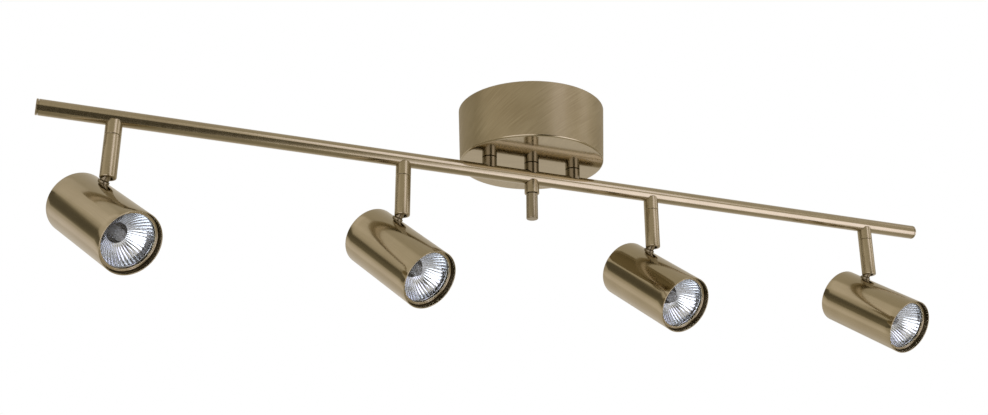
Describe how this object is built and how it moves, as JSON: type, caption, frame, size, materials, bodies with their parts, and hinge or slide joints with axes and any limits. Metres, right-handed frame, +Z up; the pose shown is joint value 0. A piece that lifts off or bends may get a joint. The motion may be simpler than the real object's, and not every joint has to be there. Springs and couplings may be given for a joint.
{
  "type": "ceiling spotlight bar",
  "caption": "Ceiling spotlight bar: round canopy, slim tube on short posts, and cylindrical lamp heads on stems that swivel and tilt, in brushed antique brass.",
  "frame": {"origin": "centre of the flat ceiling face of the bracket, in the plane of the canopy's rim", "axes": "+Z up, towards the ceiling; +X along the bar; heads numbered from the -X end; the lamps face -Y at rest"},
  "size_m": [0.889, 0.14, 0.2119],
  "materials": {
    "antique_brass": "brushed antique brass, satin, lacquered",
    "dark_brass": "darkened brass, satin",
    "zinc_steel": "zinc plated",
    "white_plastic": "moulded",
    "ceramic": "unglazed",
    "silvered_glass": "faceted, vapour-coated aluminium on glass",
    "quartz": "clear",
    "cover_glass": "clear"
  },
  "bodies": {
    "root": {"ceiling_bracket": "zinc_steel", "centre_stud": "zinc_steel", "earth_terminal": "zinc_steel", "stud_nut": "zinc_steel", "canopy_cup": "antique_brass", "terminal_block": "white_plastic", "post_left": "antique_brass", "post_centre": "antique_brass", "post_right": "antique_brass", "post_nut_left": "zinc_steel", "post_nut_right": "zinc_steel", "bar_tube": "antique_brass", "end_cap_left": "antique_brass", "end_cap_right": "antique_brass", "finial_ferrule": "antique_brass", "finial_pin": "antique_brass", "arm1_ferrule": "antique_brass", "arm2_ferrule": "antique_brass", "arm3_ferrule": "antique_brass", "arm4_ferrule": "antique_brass"},
    "arm1": {"arm1_stem": "antique_brass"},
    "head1": {"head1_tilt_ball": "antique_brass", "head1_neck_collar": "antique_brass", "head1_shell": "antique_brass", "head1_retaining_ring": "dark_brass", "head1_lamp_lens": "cover_glass", "head1_lamp_reflector": "silvered_glass", "head1_lamp_capsule": "quartz", "head1_lamp_socket": "ceramic", "head1_socket_holder": "zinc_steel"},
    "arm2": {"arm2_stem": "antique_brass"},
    "head2": {"head2_tilt_ball": "antique_brass", "head2_neck_collar": "antique_brass", "head2_shell": "antique_brass", "head2_retaining_ring": "dark_brass", "head2_lamp_lens": "cover_glass", "head2_lamp_reflector": "silvered_glass", "head2_lamp_capsule": "quartz", "head2_lamp_socket": "ceramic", "head2_socket_holder": "zinc_steel"},
    "arm3": {"arm3_stem": "antique_brass"},
    "head3": {"head3_tilt_ball": "antique_brass", "head3_neck_collar": "antique_brass", "head3_shell": "antique_brass", "head3_retaining_ring": "dark_brass", "head3_lamp_lens": "cover_glass", "head3_lamp_reflector": "silvered_glass", "head3_lamp_capsule": "quartz", "head3_lamp_socket": "ceramic", "head3_socket_holder": "zinc_steel"},
    "arm4": {"arm4_stem": "antique_brass"},
    "head4": {"head4_tilt_ball": "antique_brass", "head4_neck_collar": "antique_brass", "head4_shell": "antique_brass", "head4_retaining_ring": "dark_brass", "head4_lamp_lens": "cover_glass", "head4_lamp_reflector": "silvered_glass", "head4_lamp_capsule": "quartz", "head4_lamp_socket": "ceramic", "head4_socket_holder": "zinc_steel"}
  },
  "joints": [
    {"name": "arm1_swivel", "type": "hinge", "parent": "root", "child": "arm1", "pos_m": [-0.3816, 0, -0.1167], "axis": [0, 0, 1], "range_deg": [-175, 175]},
    {"name": "head1_tilt", "type": "hinge", "parent": "arm1", "child": "head1", "pos_m": [-0.3816, 0, -0.1167], "axis": [0.8425, 0.5388, 0], "range_deg": [-32.9, 57.1]},
    {"name": "arm2_swivel", "type": "hinge", "parent": "root", "child": "arm2", "pos_m": [-0.1272, 0, -0.1167], "axis": [0, 0, 1], "range_deg": [-175, 175]},
    {"name": "head2_tilt", "type": "hinge", "parent": "arm2", "child": "head2", "pos_m": [-0.1272, 0, -0.1167], "axis": [0.8746, 0.4848, 0], "range_deg": [-36.8, 53.2]},
    {"name": "arm3_swivel", "type": "hinge", "parent": "root", "child": "arm3", "pos_m": [0.1272, 0, -0.1167], "axis": [0, 0, 1], "range_deg": [-175, 175]},
    {"name": "head3_tilt", "type": "hinge", "parent": "arm3", "child": "head3", "pos_m": [0.1272, 0, -0.1167], "axis": [0.9553, 0.2957, 0], "range_deg": [-35, 55]},
    {"name": "arm4_swivel", "type": "hinge", "parent": "root", "child": "arm4", "pos_m": [0.3816, 0, -0.1167], "axis": [0, 0, 1], "range_deg": [-175, 175]},
    {"name": "head4_tilt", "type": "hinge", "parent": "arm4", "child": "head4", "pos_m": [0.3816, 0, -0.1167], "axis": [0.9673, 0.2538, 0], "range_deg": [-32.8, 57.2]}
  ]
}
